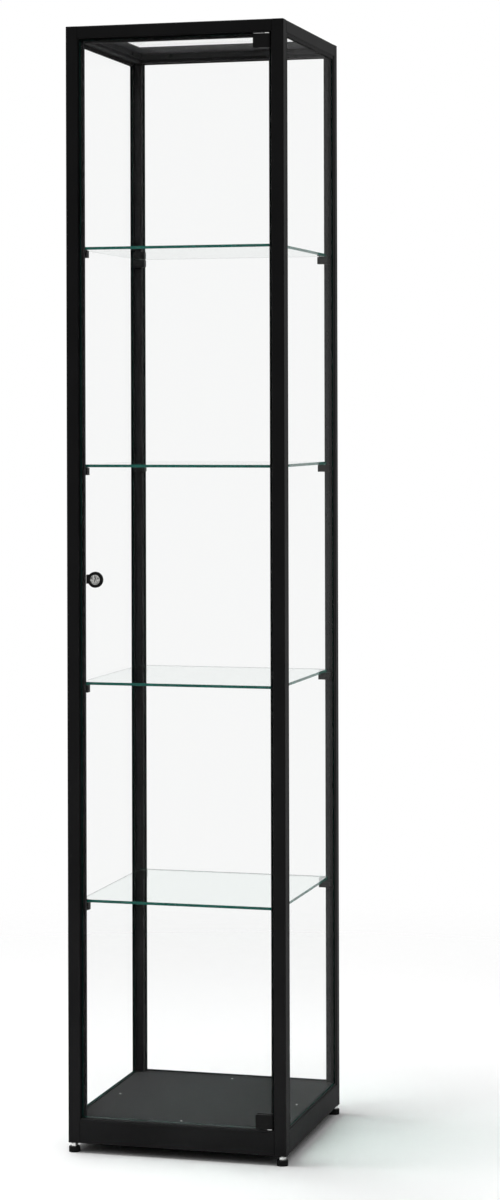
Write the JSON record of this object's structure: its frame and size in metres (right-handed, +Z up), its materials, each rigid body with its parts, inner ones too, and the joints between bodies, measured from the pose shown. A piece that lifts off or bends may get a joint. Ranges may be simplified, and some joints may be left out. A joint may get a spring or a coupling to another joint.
{
  "type": "display cabinet",
  "caption": "Tall square glass display column with black frame, hinged lockable glass door, glass shelves on black supports, dark base panel and levelling feet.",
  "frame": {"origin": "centre of the footprint on the floor", "axes": "+Z up, the door faces -Y, +X to the right seen from the front"},
  "size_m": [0.4024, 0.4024, 2],
  "materials": {
    "frame_black": "satin powder coat",
    "base_grey": "matt powder coat",
    "zinc_steel": "zinc plated",
    "rubber_black": "matt",
    "clear_glass": "clear float glass",
    "shelf_glass": "clear float glass with green polished edges",
    "black_nylon": "moulded",
    "clear_soft": "clear soft pad",
    "hinge_black": "satin black coating",
    "bright_steel": "bright plated"
  },
  "bodies": {
    "cabinet": {"back_glass": "clear_glass", "base_panel": "base_grey", "base_panel_brackets": "zinc_steel", "base_panel_rivets": "zinc_steel", "bottom_corner_connectors": "frame_black", "bottom_pivot_bush": "black_nylon", "bottom_rail_front": "frame_black", "bottom_rail_left": "frame_black", "bottom_rail_rear": "frame_black", "bottom_rail_right": "frame_black", "door_bumper_strips": "rubber_black", "door_stop_left": "frame_black", "door_stop_right": "frame_black", "door_stop_top": "frame_black", "glass_gaskets": "rubber_black", "left_glass": "clear_glass", "post_front_left": "frame_black", "post_front_right": "frame_black", "post_rear_left": "frame_black", "post_rear_right": "frame_black", "right_glass": "clear_glass", "roof_glass": "clear_glass", "roof_seal": "rubber_black", "roof_tray": "frame_black", "roof_tray_rivets": "frame_black", "shelf_1": "shelf_glass", "shelf_2": "shelf_glass", "shelf_3": "shelf_glass", "shelf_4": "shelf_glass", "shelf_support_pads": "clear_soft", "shelf_support_screws": "hinge_black", "shelf_supports": "black_nylon", "top_corner_connectors": "frame_black", "top_pivot_bush": "black_nylon", "top_rail_front": "frame_black", "top_rail_left": "frame_black", "top_rail_rear": "frame_black", "top_rail_right": "frame_black"},
    "door": {"door_glass": "clear_glass", "hinge_front_plates": "hinge_black", "hinge_rear_plates": "hinge_black", "hinge_pads": "rubber_black", "hinge_clamp_screws": "zinc_steel", "hinge_pivot_pins": "bright_steel", "hinge_washers": "bright_steel", "lock_rosette": "hinge_black", "lock_barrel": "bright_steel", "lock_nut": "zinc_steel", "lock_case": "hinge_black"},
    "lock_plug": {"lock_plug": "bright_steel"},
    "lock_bolt": {"lock_bolt": "zinc_steel"},
    "foot_front_left": {"foot_pad_front_left": "black_nylon", "foot_stud_front_left": "bright_steel"},
    "foot_front_right": {"foot_pad_front_right": "black_nylon", "foot_stud_front_right": "bright_steel"},
    "foot_rear_left": {"foot_pad_rear_left": "black_nylon", "foot_stud_rear_left": "bright_steel"},
    "foot_rear_right": {"foot_pad_rear_right": "black_nylon", "foot_stud_rear_right": "bright_steel"}
  },
  "joints": [
    {"name": "door_swing", "type": "hinge", "parent": "cabinet", "child": "door", "pos_m": [0.1695, -0.1925, 1.0195], "axis": [0, 0, 1], "range_deg": [0, 95]},
    {"name": "lock_turn", "type": "hinge", "parent": "door", "child": "lock_plug", "pos_m": [-0.1475, -0.195, 1.0175], "axis": [0, -1, 0], "range_deg": [0, 90]},
    {"name": "bolt_slide", "type": "slide", "parent": "door", "child": "lock_bolt", "axis": [-1, 0, 0], "range_m": [0, 0.005]},
    {"name": "level_front_left", "type": "slide", "parent": "cabinet", "child": "foot_front_left", "axis": [0, 0, -1], "range_m": [0, 0.01]},
    {"name": "level_front_right", "type": "slide", "parent": "cabinet", "child": "foot_front_right", "axis": [0, 0, -1], "range_m": [0, 0.01]},
    {"name": "level_rear_left", "type": "slide", "parent": "cabinet", "child": "foot_rear_left", "axis": [0, 0, -1], "range_m": [0, 0.01]},
    {"name": "level_rear_right", "type": "slide", "parent": "cabinet", "child": "foot_rear_right", "axis": [0, 0, -1], "range_m": [0, 0.01]}
  ],
  "couplings": [
    {"joint": "bolt_slide", "follows": "lock_turn", "m_per_rad": 0.0031831}
  ]
}
